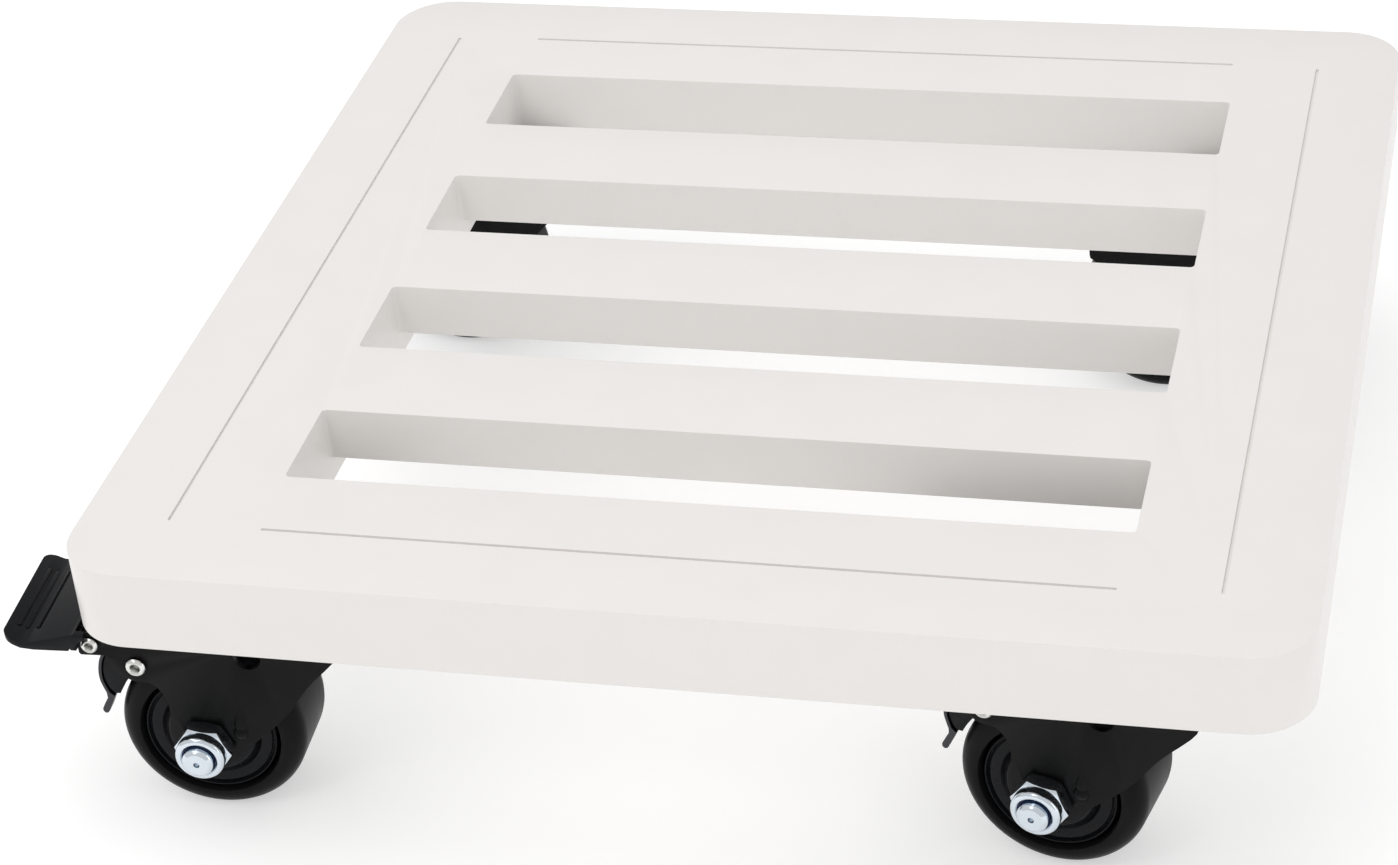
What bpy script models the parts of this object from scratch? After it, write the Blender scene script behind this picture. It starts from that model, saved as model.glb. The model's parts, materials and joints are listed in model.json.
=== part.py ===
"""Square plant pot caddy: a slatted deck on four swivel casters. The front two have foot brakes.

Metres, +Z up. The origin is the middle of the deck's top face, so the floor is at z = FLOOR.
Each caster is designed once, in a frame of its own: the swivel axis is the Z axis, the wheel trails
towards -X, and the lock nut is on the -Y side. Four copies are then turned and placed, the rear two
with a shorter fork and without the brake.
"""

from math import cos, hypot, pi, radians, sin

import bmesh
import bpy
from mathutils import Matrix, Vector

MM = 0.001
GAP = 0.3 * MM
FAR = 80 * MM

# Deck
DECK_SIDE = 300 * MM
RIM_DEPTH = 21.5 * MM
SLAT_DEPTH = 14.5 * MM
CORNER_RADIUS = 16 * MM
EDGE_CHAMFER = 0.8 * MM
SLOT_COUNT = 4
SLOT_PITCH = 60 * MM
SLOT_WIDTH = 30 * MM
SLOT_LENGTH = 210 * MM
GROOVE_INSET = 22.5 * MM
GROOVE_WIDTH = 0.9 * MM
GROOVE_DEPTH = 0.6 * MM
SIDE_GROOVE_LENGTH = 253 * MM
END_GROOVE_LENGTH = 207 * MM

# Where the casters stand: the sign of x, the sign of y, the turn in degrees about the swivel axis,
# and whether there is a brake
FLOOR = -91.5 * MM
PIVOT_X = 108.1 * MM
PIVOT_Y = 111.2 * MM
CASTERS = {
    "front_left": (-1, -1, 3, True),
    "front_right": (1, -1, -12, True),
    "rear_left": (-1, 1, -2, False),
    "rear_right": (1, 1, 9, False),
}

# Mounting plate, the two rings of the ball race, fork crown and kingpin, stacked down from the deck
SHEET = 2.2 * MM
PLATE_LENGTH = 60 * MM
PLATE_WIDTH = 42 * MM
PLATE_CORNER = 5 * MM
SCREW_SPACING_X = 46 * MM
SCREW_SPACING_Y = 31 * MM
SCREW_HOLE_RADIUS = 2.3 * MM
UPPER_RACE_RADIUS = 20.5 * MM
LOWER_RACE_RADIUS = 19.3 * MM
RACE_DEPTH = 2.1 * MM
KINGPIN_RADIUS = 5 * MM
KINGPIN_HEAD_RADIUS = 10.5 * MM
KINGPIN_HEAD_DEPTH = 3.4 * MM
PLATE_TOP = -RIM_DEPTH - GAP
PLATE_BOTTOM = PLATE_TOP - SHEET
UPPER_RACE_TOP = PLATE_BOTTOM - GAP
LOWER_RACE_TOP = UPPER_RACE_TOP - RACE_DEPTH - GAP
CROWN_TOP = LOWER_RACE_TOP - RACE_DEPTH - GAP
CROWN_BOTTOM = CROWN_TOP - SHEET

# Wheel
TRAIL = 21 * MM
WHEEL_RADIUS = 24 * MM
TREAD_HALF_WIDTH = 12.9 * MM
SHOULDER_RADIUS = 5 * MM
TREAD_BORE = 17.9 * MM
HUB_FACE = 11.8 * MM
HUB_BOSS_RADIUS = 11 * MM
HUB_BOSS_FACE = 13.1 * MM
AXLE = Vector((-TRAIL, 0, FLOOR + WHEEL_RADIUS))
AXLE_RADIUS = 4 * MM
SLEEVE_RADIUS = 6 * MM

# Fork
FORK_OUTER = 15.5 * MM
FORK_INNER = 13.5 * MM
CROWN_RADIUS = 22 * MM
LEG_TIP_RADIUS = 8.4 * MM
RIB_RADIUS = 1.5 * MM
WINDOW_RADIUS = 3.5 * MM
WINDOW = AXLE + Vector((14.5, 0, 27)) * MM

# Axle bolt and lock nut
HEX_ACROSS_FLATS = 13 * MM
HEX_TURN = radians(37)
BOLT_HEAD_HEIGHT = 5.3 * MM
BOLT_END = 25.3 * MM
NUT_HEX_HEIGHT = 3.9 * MM
NUT_COLLAR_RADIUS = 6.4 * MM
NUT_FACE = 23.3 * MM
RING_POCKET_RADIUS = 5.1 * MM
RING_POCKET_DEPTH = 2 * MM

# Brake
PEDAL_AXIS = AXLE + Vector((-25.9, 0, 29.4)) * MM
SHOE_AXIS = AXLE + Vector((-14.9, 0, 23.1)) * MM
RIVET_RADIUS = 1.5 * MM
RIVET_END = 17 * MM
PEDAL_RIVET_HEAD = 2.2 * MM
SHOE_RIVET_HEAD = 2.6 * MM
ARM_END_RADIUS = 3.4 * MM
PEDAL_HALF_WIDTH = 18 * MM
PEDAL_LIP = AXLE.x - 48 * MM
PEDAL_CORNER = 3 * MM
SKIRT_THICKNESS = 1.8 * MM
EAR_RADIUS = 2.8 * MM
LUG_OUTER = 12.9 * MM
LUG_INNER = 6 * MM
LUG_RADIUS = 3.2 * MM
SHOE_HALF_WIDTH = 11 * MM
SHOE_CLEARANCE = 1 * MM
SHOE_LUG_RADIUS = 2.7 * MM
SPRING_HALF_WIDTH = 11.4 * MM
SPRING_THICKNESS = 0.8 * MM
TONGUE_WIDTH = 3.4 * MM


def clear_scene():
    for obj in list(bpy.data.objects):
        bpy.data.objects.remove(obj)


def new_collection(name):
    collection = bpy.data.collections.new(name)
    bpy.context.scene.collection.children.link(collection)
    return collection


def new_material(name, color, roughness, metallic=0.0):
    material = bpy.data.materials.new(name)
    material.use_nodes = True
    shader = material.node_tree.nodes["Principled BSDF"]
    shader.inputs["Base Color"].default_value = (*color, 1)
    shader.inputs["Roughness"].default_value = roughness
    shader.inputs["Metallic"].default_value = metallic
    return material


def on_bench(data):
    """An object for a shape that is still being worked on."""
    obj = bpy.data.objects.new("bench", data)
    bpy.context.scene.collection.objects.link(obj)
    return obj


def finished_mesh(obj):
    """The object's shape with its modifiers applied and its seams closed. The object is removed."""
    bpy.context.view_layer.update()
    graph = bpy.context.evaluated_depsgraph_get()
    mesh = bpy.data.meshes.new_from_object(obj.evaluated_get(graph))
    mesh.transform(obj.matrix_world)
    bpy.data.objects.remove(obj)
    bm = bmesh.new()
    bm.from_mesh(mesh)
    bmesh.ops.remove_doubles(bm, verts=bm.verts, dist=0.001 * MM)
    bmesh.ops.recalc_face_normals(bm, faces=bm.faces)
    bm.to_mesh(mesh)
    bm.free()
    return mesh


def arc(center, radius, start, end, steps):
    """Points on an arc, angles in degrees, both ends included."""
    angles = [radians(start + (end - start) * i / steps) for i in range(steps + 1)]
    return [(center[0] + radius * cos(a), center[1] + radius * sin(a)) for a in angles]


def side_arc(center, radius, start, end, steps):
    return arc((center.x, center.z), radius, start, end, steps)


def side(points):
    """Outline points in mm, measured from the axle, as (x, z) in the caster's frame."""
    return [(AXLE.x + x * MM, AXLE.z + z * MM) for x, z in points]


def rounded_rectangle(length, width, radius, steps):
    x = length / 2 - radius
    y = width / 2 - radius
    corners = ((x, y, 0), (-x, y, 90), (-x, -y, 180), (x, -y, 270))
    return [p for cx, cy, start in corners for p in arc((cx, cy), radius, start, start + 90, steps)]


def slab(outline, bottom, top):
    """A flat outline in XY, filled and extruded from bottom to top along Z."""
    curve = bpy.data.curves.new("outline", "CURVE")
    curve.dimensions = "2D"
    curve.fill_mode = "BOTH"
    curve.extrude = (top - bottom) / 2
    spline = curve.splines.new("POLY")
    spline.points.add(len(outline) - 1)
    for point, (x, y) in zip(spline.points, outline):
        point.co = (x, y, 0, 1)
    spline.use_cyclic_u = True
    obj = on_bench(curve)
    obj.location.z = (top + bottom) / 2
    return finished_mesh(obj)


def side_slab(outline, left, right):
    """An outline in XZ, filled and extruded from y = left to y = right."""
    mesh = slab(outline, -right, -left)
    mesh.transform(Matrix.Rotation(pi / 2, 4, "X"))
    return mesh


def cylinder(radius, start, end, segments, axis="Y", center=(0, 0, 0)):
    """A cylinder along Y or Z, from start to end as measured from its centre point."""
    bm = bmesh.new()
    bmesh.ops.create_cone(
        bm, cap_ends=True, segments=segments, radius1=radius, radius2=radius, depth=end - start
    )
    mesh = bpy.data.meshes.new("cylinder")
    bm.to_mesh(mesh)
    bm.free()
    mesh.transform(Matrix.Translation((0, 0, (start + end) / 2)))
    if axis == "Y":
        mesh.transform(Matrix.Rotation(-pi / 2, 4, "X"))
    mesh.transform(Matrix.Translation(center))
    return mesh


def box(low, high):
    bm = bmesh.new()
    bmesh.ops.create_cube(bm, size=1)
    mesh = bpy.data.meshes.new("box")
    bm.to_mesh(mesh)
    bm.free()
    size = Vector(high) - Vector(low)
    mesh.transform(Matrix.Diagonal((*size, 1)))
    mesh.transform(Matrix.Translation((Vector(high) + Vector(low)) / 2))
    return mesh


def turned(profile, segments, axis="Z", center=(0, 0, 0)):
    """A profile of (radius, height) points, listed down its outer side, turned about Z or Y."""
    count = len(profile)
    mesh = bpy.data.meshes.new("profile")
    edges = [(i, i + 1) for i in range(count - 1)]
    if profile[0][0] > 0:
        edges.append((count - 1, 0))
    mesh.from_pydata([(r, 0, z) for r, z in profile], edges, [])
    obj = on_bench(mesh)
    screw = obj.modifiers.new("turn", "SCREW")
    screw.steps = segments
    screw.render_steps = segments
    screw.use_merge_vertices = True
    screw.merge_threshold = 0.01 * MM
    solid = finished_mesh(obj)
    if axis == "Y":
        solid.transform(Matrix.Rotation(-pi / 2, 4, "X"))
    solid.transform(Matrix.Translation(center))
    return solid


def mirrored_profile(upper):
    """The profile whose lower half repeats the upper half upside down."""
    return [*upper, *[(r, -h) for r, h in reversed(upper)]]


def combined(base, add=(), cut=()):
    """The base mesh with every mesh in add joined to it and every mesh in cut taken away."""
    obj = on_bench(base)
    tools = []
    for operation, meshes in (("UNION", add), ("DIFFERENCE", cut)):
        for mesh in meshes:
            tool = on_bench(mesh)
            tool.hide_render = True
            tool.display_type = "WIRE"
            tools.append(tool)
            boolean = obj.modifiers.new(operation.lower(), "BOOLEAN")
            boolean.operation = operation
            boolean.solver = "EXACT"
            boolean.object = tool
    result = finished_mesh(obj)
    for tool in tools:
        bpy.data.objects.remove(tool)
    return result


def chamfered(mesh, width):
    obj = on_bench(mesh)
    bevel = obj.modifiers.new("chamfer", "BEVEL")
    bevel.width = width
    bevel.segments = 1
    bevel.limit_method = "ANGLE"
    bevel.angle_limit = radians(30)
    return finished_mesh(obj)


def deck_mesh():
    """A square board with a deep rim, shallower slats, and four slots right through it."""
    board = slab(rounded_rectangle(DECK_SIDE, DECK_SIDE, CORNER_RADIUS, 6), -RIM_DEPTH, 0)
    reach = SLOT_LENGTH / 2
    recess = box((-reach, -reach, -FAR), (reach, reach, -SLAT_DEPTH))
    slots = []
    for i in range(SLOT_COUNT):
        y = (i - (SLOT_COUNT - 1) / 2) * SLOT_PITCH
        slots.append(box((-reach, y - SLOT_WIDTH / 2, -FAR), (reach, y + SLOT_WIDTH / 2, FAR)))
    board = chamfered(combined(board, cut=[recess, *slots]), EDGE_CHAMFER)
    grooves = []
    for place in (GROOVE_INSET - DECK_SIDE / 2, DECK_SIDE / 2 - GROOVE_INSET):
        near = place - GROOVE_WIDTH / 2
        far = place + GROOVE_WIDTH / 2
        half = SIDE_GROOVE_LENGTH / 2
        grooves.append(box((near, -half, -GROOVE_DEPTH), (far, half, FAR)))
        half = END_GROOVE_LENGTH / 2
        grooves.append(box((-half, near, -GROOVE_DEPTH), (half, far, FAR)))
    return combined(board, cut=grooves)


def mounting_plate_mesh():
    plate = slab(rounded_rectangle(PLATE_LENGTH, PLATE_WIDTH, PLATE_CORNER, 2), PLATE_BOTTOM, PLATE_TOP)
    holes = [cylinder(KINGPIN_RADIUS + GAP, -FAR, FAR, 12, "Z")]
    for x in (-SCREW_SPACING_X / 2, SCREW_SPACING_X / 2):
        for y in (-SCREW_SPACING_Y / 2, SCREW_SPACING_Y / 2):
            holes.append(cylinder(SCREW_HOLE_RADIUS, -FAR, FAR, 8, "Z", (x, y, 0)))
    return combined(plate, cut=holes)


def race_mesh(radius, top):
    bore = KINGPIN_RADIUS + GAP
    half = RACE_DEPTH / 2
    profile = [(bore, half), (radius - 0.8 * MM, half), (radius, half - 0.8 * MM), (radius, -half)]
    return turned([*profile, (bore, -half)], 24, center=(0, 0, top - half))


def kingpin_mesh():
    """A stem peened into the mounting plate, with a broad head under the fork crown."""
    top = PLATE_TOP - 0.1 * MM
    head = CROWN_BOTTOM - GAP
    bottom = head - KINGPIN_HEAD_DEPTH
    profile = [
        (0, top),
        (KINGPIN_RADIUS, top),
        (KINGPIN_RADIUS, head),
        (KINGPIN_HEAD_RADIUS, head),
        (KINGPIN_HEAD_RADIUS, head - 1.6 * MM),
        (KINGPIN_HEAD_RADIUS - 1.8 * MM, bottom),
        (0, bottom),
    ]
    return turned(profile, 12)


def cheek_outline(braked):
    """One side of the fork: the back, the curve over the wheel, the leg tip, the front edge."""
    top = (CROWN_TOP - AXLE.z) / MM
    under = (CROWN_BOTTOM - AXLE.z) / MM
    if braked:
        points = side_arc(PEDAL_AXIS, ARM_END_RADIUS, 90, 180, 3)
        points += side([(-29.3, 26.6), (-28.7, 26.0), (-22.6, 26.0)])
    else:
        points = side([(-21.6, 33.4), (-22.9, 32.8), (-23.4, 31.6)])
    points += side([(-22.6, 24.5), (-21, 21.5), (-18.5, 19.1), (-16.5, 18.3), (-11.6, 17.5)])
    points += side([(-9.5, 15), (-8.4, 11.5)])
    points += side_arc(AXLE, LEG_TIP_RADIUS, 180, 315, 7)
    points += side([(11.5, -1), (17, 4), (22.8, 9.9), (28.4, 18), (34, 23.8), (39, 29.6)])
    points += side([(39, top), (-8, top), (-9.5, under)])
    return points


def fork_mesh(braked):
    cheeks = side_slab(cheek_outline(braked), -FORK_OUTER, FORK_OUTER)
    crown = cylinder(CROWN_RADIUS, CROWN_BOTTOM, CROWN_TOP, 28, "Z")
    channel = box((-FAR, -FORK_INNER, -2 * FAR), (FAR, FORK_INNER, CROWN_BOTTOM))
    ribs = []
    for y in (0.5 * MM - FORK_OUTER, FORK_OUTER - 0.5 * MM):
        foot = AXLE + Vector((9 * MM, y, 0))
        ribs.append(cylinder(RIB_RADIUS, 1 * MM, 13 * MM, 8, "Z", foot))
    holes = [
        cylinder(KINGPIN_RADIUS + GAP, -FAR, 0, 12, "Z"),
        cylinder(AXLE_RADIUS + GAP, -FAR, FAR, 12, "Y", AXLE),
        cylinder(WINDOW_RADIUS, -FAR, FAR, 10, "Y", WINDOW),
    ]
    if braked:
        holes.append(cylinder(RIVET_RADIUS + GAP, -FAR, FAR, 8, "Y", PEDAL_AXIS))
        holes.append(cylinder(RIVET_RADIUS + GAP, -FAR, FAR, 8, "Y", SHOE_AXIS))
    return combined(combined(cheeks, cut=[channel]), add=[crown, *ribs], cut=holes)


def tread_mesh():
    shoulder = (WHEEL_RADIUS - SHOULDER_RADIUS, TREAD_HALF_WIDTH - SHOULDER_RADIUS)
    upper = [(TREAD_BORE, TREAD_HALF_WIDTH), *arc(shoulder, SHOULDER_RADIUS, 90, 0, 3)]
    return turned(mirrored_profile(upper), 28, "Y", AXLE)


def wheel_hub_mesh():
    rim = TREAD_BORE - GAP
    upper = [
        (SLEEVE_RADIUS + GAP, HUB_BOSS_FACE),
        (HUB_BOSS_RADIUS, HUB_BOSS_FACE),
        (HUB_BOSS_RADIUS, HUB_FACE),
        (rim, HUB_FACE),
    ]
    return turned(mirrored_profile(upper), 20, "Y", AXLE)


def axle_sleeve_mesh():
    half = FORK_INNER - GAP
    upper = [(AXLE_RADIUS + GAP, half), (SLEEVE_RADIUS, half)]
    return turned(mirrored_profile(upper), 12, "Y", AXLE)


def hexagon(start, end):
    prism = cylinder(HEX_ACROSS_FLATS / 2 / cos(pi / 6), start, end, 6)
    prism.transform(Matrix.Rotation(HEX_TURN, 4, "Y"))
    prism.transform(Matrix.Translation(AXLE))
    return prism


def axle_bolt_mesh():
    """A hexagon head on the +Y side and a stem that ends inside the lock nut."""
    seat = FORK_OUTER + GAP
    chamfer = 0.7 * MM
    stem = [
        (0, seat + 1 * MM),
        (AXLE_RADIUS, seat + 1 * MM),
        (AXLE_RADIUS, chamfer - BOLT_END),
        (AXLE_RADIUS - chamfer, -BOLT_END),
        (0, -BOLT_END),
    ]
    head = hexagon(seat, seat + BOLT_HEAD_HEIGHT)
    return combined(head, add=[turned(stem, 12, "Y", AXLE)])


def lock_nut_mesh():
    """A hexagon with a round collar that holds the nylon ring."""
    seat = FORK_OUTER + GAP
    body = hexagon(-seat - NUT_HEX_HEIGHT, -seat)
    collar = cylinder(NUT_COLLAR_RADIUS, -NUT_FACE, -seat - 1 * MM, 16, "Y", AXLE)
    bore = cylinder(AXLE_RADIUS + GAP, -FAR, FAR, 12, "Y", AXLE)
    pocket = cylinder(RING_POCKET_RADIUS + GAP, -FAR, RING_POCKET_DEPTH - NUT_FACE, 16, "Y", AXLE)
    return combined(body, add=[collar], cut=[bore, pocket])


def nylon_ring_mesh():
    half = RING_POCKET_DEPTH / 2 - GAP
    upper = [(AXLE_RADIUS + GAP, half), (RING_POCKET_RADIUS, half)]
    middle = AXLE - Vector((0, NUT_FACE - RING_POCKET_DEPTH / 2, 0))
    return turned(mirrored_profile(upper), 16, "Y", middle)


def rivet_mesh(head_radius, center):
    upper = [
        (0, RIVET_END),
        (head_radius - 0.5 * MM, RIVET_END),
        (head_radius, RIVET_END - 0.5 * MM),
        (head_radius, FORK_OUTER + GAP),
        (RIVET_RADIUS, FORK_OUTER + GAP),
    ]
    return turned(mirrored_profile(upper), 10, "Y", center)


def strip_outline(points, thickness):
    """The outline of a strip of even thickness. The points run along its left-hand side."""
    last = len(points) - 1
    right = []
    for i, (x, z) in enumerate(points):
        x0, z0 = points[max(i - 1, 0)]
        x1, z1 = points[min(i + 1, last)]
        length = hypot(x1 - x0, z1 - z0)
        right.append((x + (z1 - z0) / length * thickness, z - (x1 - x0) / length * thickness))
    return [*points, *reversed(right)]


def corner_cutter(sign):
    """A solid that rounds one outer corner of the pedal, as seen from above."""
    middle = (PEDAL_LIP + PEDAL_CORNER, sign * (PEDAL_HALF_WIDTH - PEDAL_CORNER))
    edge = arc(middle, PEDAL_CORNER, 180, 180 - sign * 90, 3)
    beyond = PEDAL_LIP - 5 * MM
    outside = sign * (PEDAL_HALF_WIDTH + 5 * MM)
    return slab([*edge, (edge[-1][0], outside), (beyond, outside), (beyond, edge[0][1])], -FAR, 0)


def brake_pedal_mesh():
    """A hollow treadle with a turned-up lip, a neck with two lugs, and ears outside the fork."""
    treadle = side([(-48, 33), (-42.6, 30.5), (-40, 31.3), (-28.7, 34), (-28.7, 30.6), (-29.7, 30.4)])
    treadle += side([(-30.9, 28.8), (-40, 28.8), (-43.5, 29.2), (-48, 31.4)])
    hollow = side([(-39.6, 29.2), (-27.5, 32.5), (-27.5, 20), (-39.6, 20)])
    neck = side([(-32.4, 31.8), (-31.8, 30.6), (-24.3, 30.4), (-24.3, 32.6), (-31.9, 32.9)])
    nose = side([(-25.3, 24.6), (-24, 25.3)])
    lug = side_arc(PEDAL_AXIS, LUG_RADIUS, -30, 245, 9) + nose
    ear = side([(-30.4, 33), (-28.8, 34), (-26.2, 33.8)])
    ear += side_arc(PEDAL_AXIS, EAR_RADIUS, 95, 190, 4) + side([(-30.4, 29)])
    inner = PEDAL_HALF_WIDTH - SKIRT_THICKNESS
    ears = [side_slab(ear, inner, PEDAL_HALF_WIDTH), side_slab(ear, -PEDAL_HALF_WIDTH, -inner)]
    body = combined(
        side_slab(treadle, -PEDAL_HALF_WIDTH, PEDAL_HALF_WIDTH),
        cut=[side_slab(hollow, -inner, inner), corner_cutter(-1), corner_cutter(1)],
    )
    lugs = combined(
        side_slab(neck, -LUG_OUTER, LUG_OUTER),
        add=[side_slab(lug, -LUG_OUTER, -LUG_INNER), side_slab(lug, LUG_INNER, LUG_OUTER)],
        cut=[cylinder(RIVET_RADIUS + GAP, -FAR, FAR, 8, "Y", PEDAL_AXIS)],
    )
    return combined(body, add=[lugs, *ears])


def brake_shoe_mesh():
    """A block behind the tread, hung on the shoe rivet, with its face concentric to the wheel."""
    face = side_arc(AXLE, WHEEL_RADIUS + SHOE_CLEARANCE, 155, 129, 4)
    lug = side_arc(SHOE_AXIS, SHOE_LUG_RADIUS, -75, 100, 6)
    back = side([(-19, 25.6), (-22.8, 24.1), (-24.8, 22.2), (-25.9, 18.6), (-26.2, 15.2)])
    foot = side([(-25.2, 12), (-24.1, 10.6)])
    block = side_slab([*face, *lug, *back, *foot], -SHOE_HALF_WIDTH, SHOE_HALF_WIDTH)
    return combined(block, cut=[cylinder(RIVET_RADIUS + GAP, -FAR, FAR, 8, "Y", SHOE_AXIS)])


def brake_spring_mesh():
    """A leaf up the back of the shoe, with two stout tongues that hang below it."""
    route = side([(-26.2, 10.8), (-26.7, 12.4), (-27.4, 15.2), (-27.1, 18.9), (-25.9, 22.8)])
    route += side([(-23.4, 25.2)])
    tongue = side([(-24.2, 9.8), (-26.4, 4.9), (-27.2, 4.3), (-28, 4.8), (-28.1, 5.7), (-26.2, 9.2)])
    outline = strip_outline(route, SPRING_THICKNESS) + tongue
    inner = SPRING_HALF_WIDTH - TONGUE_WIDTH
    window = box((-FAR, -inner, -2 * FAR), (FAR, inner, AXLE.z + 13.5 * MM))
    return combined(side_slab(outline, -SPRING_HALF_WIDTH, SPRING_HALF_WIDTH), cut=[window])


def place(name, mesh, material, collection, parent=None, joint=(0, 0, 0)):
    """An object whose origin is at the given joint, under its caster's parent empty."""
    mesh.transform(Matrix.Translation(-Vector(joint)))
    mesh.name = name
    mesh.materials.clear()
    mesh.materials.append(material)
    obj = bpy.data.objects.new(name, mesh)
    collection.objects.link(obj)
    obj.location = joint
    obj.parent = parent
    for polygon in mesh.polygons:
        polygon.use_smooth = True
    mesh.set_sharp_from_angle(angle=radians(30))
    return obj


def build_caster(name, spec, materials, collection):
    side_x, side_y, turn, braked = spec
    pivot = (side_x * PIVOT_X, side_y * PIVOT_Y, 0)
    mount = bpy.data.objects.new(f"{name}_mount", None)
    swivel = bpy.data.objects.new(f"{name}_swivel", None)
    collection.objects.link(mount)
    collection.objects.link(swivel)
    mount.location = pivot
    mount.rotation_euler.z = -side_x * side_y * pi / 4
    swivel.location = pivot
    swivel.rotation_euler.z = radians(turn)
    upper_race = race_mesh(UPPER_RACE_RADIUS, UPPER_RACE_TOP)
    lower_race = race_mesh(LOWER_RACE_RADIUS, LOWER_RACE_TOP)
    pieces = [
        ("mounting_plate", mounting_plate_mesh(), "black_steel", mount, (0, 0, 0)),
        ("upper_race", upper_race, "black_steel", mount, (0, 0, 0)),
        ("kingpin", kingpin_mesh(), "zinc", mount, (0, 0, 0)),
        ("lower_race", lower_race, "black_steel", swivel, (0, 0, 0)),
        ("fork", fork_mesh(braked), "black_steel", swivel, (0, 0, 0)),
        ("axle_bolt", axle_bolt_mesh(), "zinc", swivel, AXLE),
        ("axle_sleeve", axle_sleeve_mesh(), "zinc", swivel, AXLE),
        ("lock_nut", lock_nut_mesh(), "zinc", swivel, AXLE),
        ("nylon_ring", nylon_ring_mesh(), "blue_nylon", swivel, AXLE),
        ("tread", tread_mesh(), "black_tread", swivel, AXLE),
        ("wheel_hub", wheel_hub_mesh(), "black_plastic", swivel, AXLE),
    ]
    if braked:
        pedal_rivet = rivet_mesh(PEDAL_RIVET_HEAD, PEDAL_AXIS)
        shoe_rivet = rivet_mesh(SHOE_RIVET_HEAD, SHOE_AXIS)
        pieces += [
            ("pedal_rivet", pedal_rivet, "bright_steel", swivel, PEDAL_AXIS),
            ("shoe_rivet", shoe_rivet, "bright_steel", swivel, SHOE_AXIS),
            ("brake_pedal", brake_pedal_mesh(), "black_plastic", swivel, PEDAL_AXIS),
            ("brake_shoe", brake_shoe_mesh(), "black_plastic", swivel, SHOE_AXIS),
            ("brake_spring", brake_spring_mesh(), "spring_steel", swivel, SHOE_AXIS),
        ]
    for piece, mesh, material, parent, joint in pieces:
        place(f"{name}_{piece}", mesh, materials[material], collection, parent, joint)


def main():
    clear_scene()
    collection = new_collection("plant_pot_caddy")
    materials = {
        "deck_plastic": new_material("deck_plastic", (0.80, 0.78, 0.74), 0.5),
        "black_plastic": new_material("black_plastic", (0.03, 0.03, 0.032), 0.45),
        "black_tread": new_material("black_tread", (0.035, 0.034, 0.036), 0.5),
        "black_steel": new_material("black_steel", (0.025, 0.025, 0.026), 0.4),
        "zinc": new_material("zinc", (0.72, 0.74, 0.77), 0.25, 1),
        "blue_nylon": new_material("blue_nylon", (0.02, 0.06, 0.2), 0.4),
        "bright_steel": new_material("bright_steel", (0.7, 0.7, 0.7), 0.3, 1),
        "spring_steel": new_material("spring_steel", (0.13, 0.13, 0.135), 0.35, 1),
    }
    place("deck", deck_mesh(), materials["deck_plastic"], collection)
    for name, spec in CASTERS.items():
        build_caster(name, spec, materials, collection)


main()
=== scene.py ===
"""The looks of a plant pot caddy: a white slatted deck on four black swivel casters, two with brakes.

Every caster piece is made once, in the caster's own frame: the swivel axis is Z through x = y = 0,
heights are the object's own, the wheel trails towards -X, and the lock nut is on the -Y side.
"""

import json
from math import atan2, cos, hypot, pi, radians, sin

import bmesh
import bpy
from mathutils import Matrix, Vector


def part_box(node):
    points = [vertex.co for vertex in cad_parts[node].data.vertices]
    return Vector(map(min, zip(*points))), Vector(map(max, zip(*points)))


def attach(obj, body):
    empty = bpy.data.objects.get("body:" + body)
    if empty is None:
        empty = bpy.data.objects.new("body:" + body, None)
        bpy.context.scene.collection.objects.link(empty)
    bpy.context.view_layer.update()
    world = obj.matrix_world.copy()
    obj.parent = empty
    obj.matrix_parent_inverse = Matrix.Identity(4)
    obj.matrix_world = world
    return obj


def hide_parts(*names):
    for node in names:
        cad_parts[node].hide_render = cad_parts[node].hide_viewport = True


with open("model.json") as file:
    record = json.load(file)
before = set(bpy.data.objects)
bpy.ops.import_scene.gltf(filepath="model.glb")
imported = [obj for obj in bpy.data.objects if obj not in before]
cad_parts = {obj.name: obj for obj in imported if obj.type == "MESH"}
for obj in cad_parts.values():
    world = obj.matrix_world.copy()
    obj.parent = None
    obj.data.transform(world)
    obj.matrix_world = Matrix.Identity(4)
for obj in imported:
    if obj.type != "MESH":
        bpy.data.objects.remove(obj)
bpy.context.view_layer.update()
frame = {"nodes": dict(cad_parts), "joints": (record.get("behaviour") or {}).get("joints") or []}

MM = 0.001
FAR = 80 * MM
GAP = 0.3 * MM
JOINTS = {joint["name"]: joint for joint in frame["joints"]}
CASTERS = ("front_left", "front_right", "rear_left", "rear_right")
BRAKED = ("front_left", "front_right")

# Heights, from the frame. The deck's top face is at z = 0.
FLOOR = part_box("front_left_tread")[0].z
DECK_LOW, DECK_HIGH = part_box("deck")
PLATE_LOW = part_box("front_left_mounting_plate")[0].z
UPPER_RACE_LOW, UPPER_RACE_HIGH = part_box("front_left_upper_race")
LOWER_RACE_LOW, LOWER_RACE_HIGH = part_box("front_left_lower_race")
KINGPIN_LOW, KINGPIN_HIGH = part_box("front_left_kingpin")
CROWN_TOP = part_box("front_left_fork")[1].z
AXLE = Vector((-21 * MM, 0, JOINTS["front_left_roll"]["pos_m"][2]))
PEDAL_AXIS = AXLE + Vector((-25.9, 0, 29.4)) * MM
SHOE_AXIS = AXLE + Vector((-14.9, 0, 23.1)) * MM
WINDOW = AXLE + Vector((14.5, 0, 27)) * MM

# Deck
CORNER_RADIUS = 16 * MM
SLAT_DEPTH = 14.5 * MM
SLOT_COUNT = 4
SLOT_PITCH = 60 * MM
SLOT_WIDTH = 30 * MM
SLOT_LENGTH = 210 * MM
SLOT_CORNER = 1.2 * MM
EDGE_ROUNDING = 1 * MM
GROOVE_INSET = 22.5 * MM
GROOVE_WIDTH = 0.9 * MM
GROOVE_DEPTH = 0.6 * MM
GROOVE_END_RADIUS = 0.44 * MM
SIDE_GROOVE_LENGTH = 253 * MM
END_GROOVE_LENGTH = 207 * MM

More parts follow.
